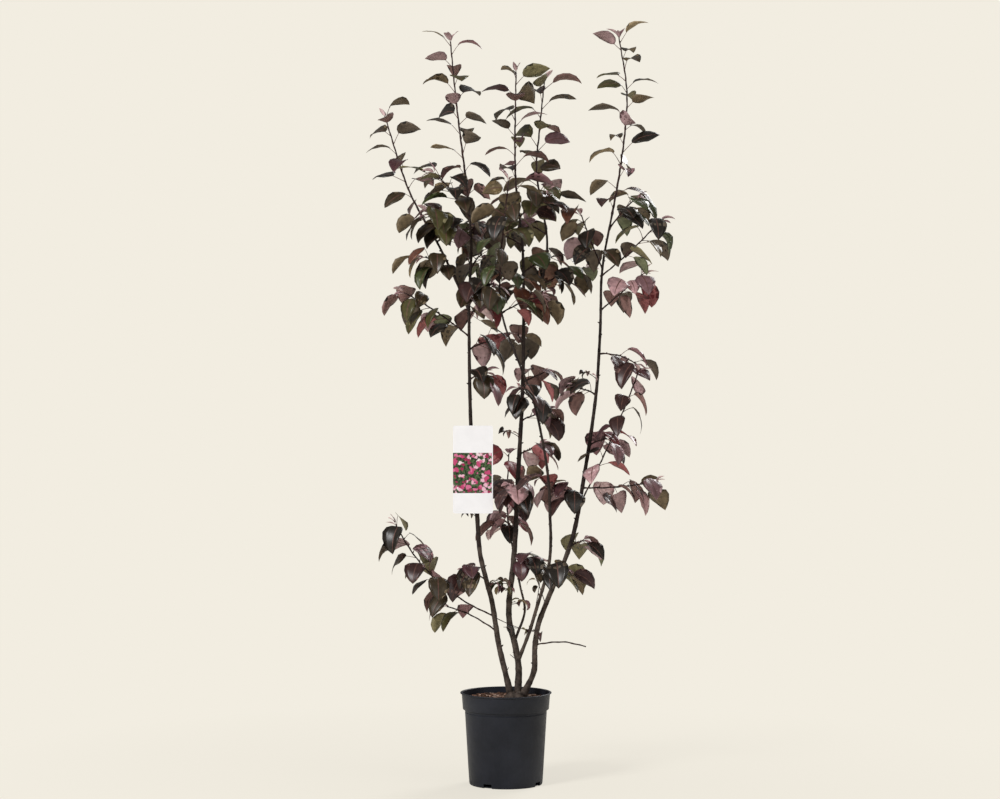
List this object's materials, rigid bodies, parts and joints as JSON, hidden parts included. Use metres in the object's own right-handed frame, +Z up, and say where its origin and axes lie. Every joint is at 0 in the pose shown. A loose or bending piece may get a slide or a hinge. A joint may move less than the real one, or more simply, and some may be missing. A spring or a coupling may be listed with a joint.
{
  "type": "potted crabapple tree",
  "caption": "Young multi-stemmed purple-leaved crabapple in a round black nursery pot, upright and leafy, standing on the pot's flat base.",
  "frame": {"origin": "centre of the pot's flat underside, where it stands on the ground", "axes": "+Z up through the pot's axis, -Y towards the side the plant is seen from, +X to that viewer's right"},
  "size_m": [0.8121, 0.5113, 2.0057],
  "materials": {
    "pot_plastic": "satin black, lightly scuffed",
    "potting_soil": "loose peat and bark chips",
    "bark": "smooth grey-brown bark with pale lenticels",
    "foliage": "bronze-purple leaves, satin above and duller below",
    "label_card": "coated white card"
  },
  "bodies": {
    "root": {"bough_back": "bark", "bough_fork": "bark", "bough_front": "bark", "bough_left": "bark", "label": "label_card", "pot": "pot_plastic", "shoot_drooping_right": "foliage", "shoot_flat_right": "foliage", "shoot_high_right": "foliage", "shoot_inner_high": "foliage", "shoot_low_left": "foliage", "shoot_low_right": "foliage", "shoot_lowest_left": "foliage", "shoot_mid_left": "foliage", "shoot_small_right": "foliage", "soil": "potting_soil", "spur_centre_high_1": "foliage", "spur_centre_high_2": "foliage", "spur_centre_high_3": "foliage", "spur_centre_high_4": "foliage", "spur_centre_low_1": "foliage", "spur_centre_low_2": "foliage", "spur_centre_low_3": "foliage", "spur_centre_low_4": "foliage", "spur_centre_middle_1": "foliage", "spur_centre_middle_2": "foliage", "spur_centre_middle_3": "foliage", "spur_far_left_1": "foliage", "spur_far_left_2": "foliage", "spur_fork_1": "foliage", "spur_fork_2": "foliage", "spur_front_1": "foliage", "spur_front_2": "foliage", "spur_front_3": "foliage", "spur_front_4": "foliage", "spur_left_1": "foliage", "spur_left_2": "foliage", "spur_left_3": "foliage", "spur_left_foot_1": "foliage", "spur_left_low_1": "foliage", "spur_left_low_2": "foliage", "spur_left_low_3": "foliage", "spur_left_top_1": "foliage", "spur_right_1": "foliage", "spur_right_2": "foliage", "spur_right_3": "foliage", "spur_right_4": "foliage", "spur_right_high_1": "foliage", "stem_centre": "bark", "stem_left": "bark", "stem_right": "bark", "stool": "bark", "tip_back": "foliage", "tip_centre": "foliage", "tip_far_left": "foliage", "tip_fork": "foliage", "tip_front": "foliage", "tip_left": "foliage", "tip_right": "foliage", "twig_bare": "bark"}
  },
  "joints": []
}
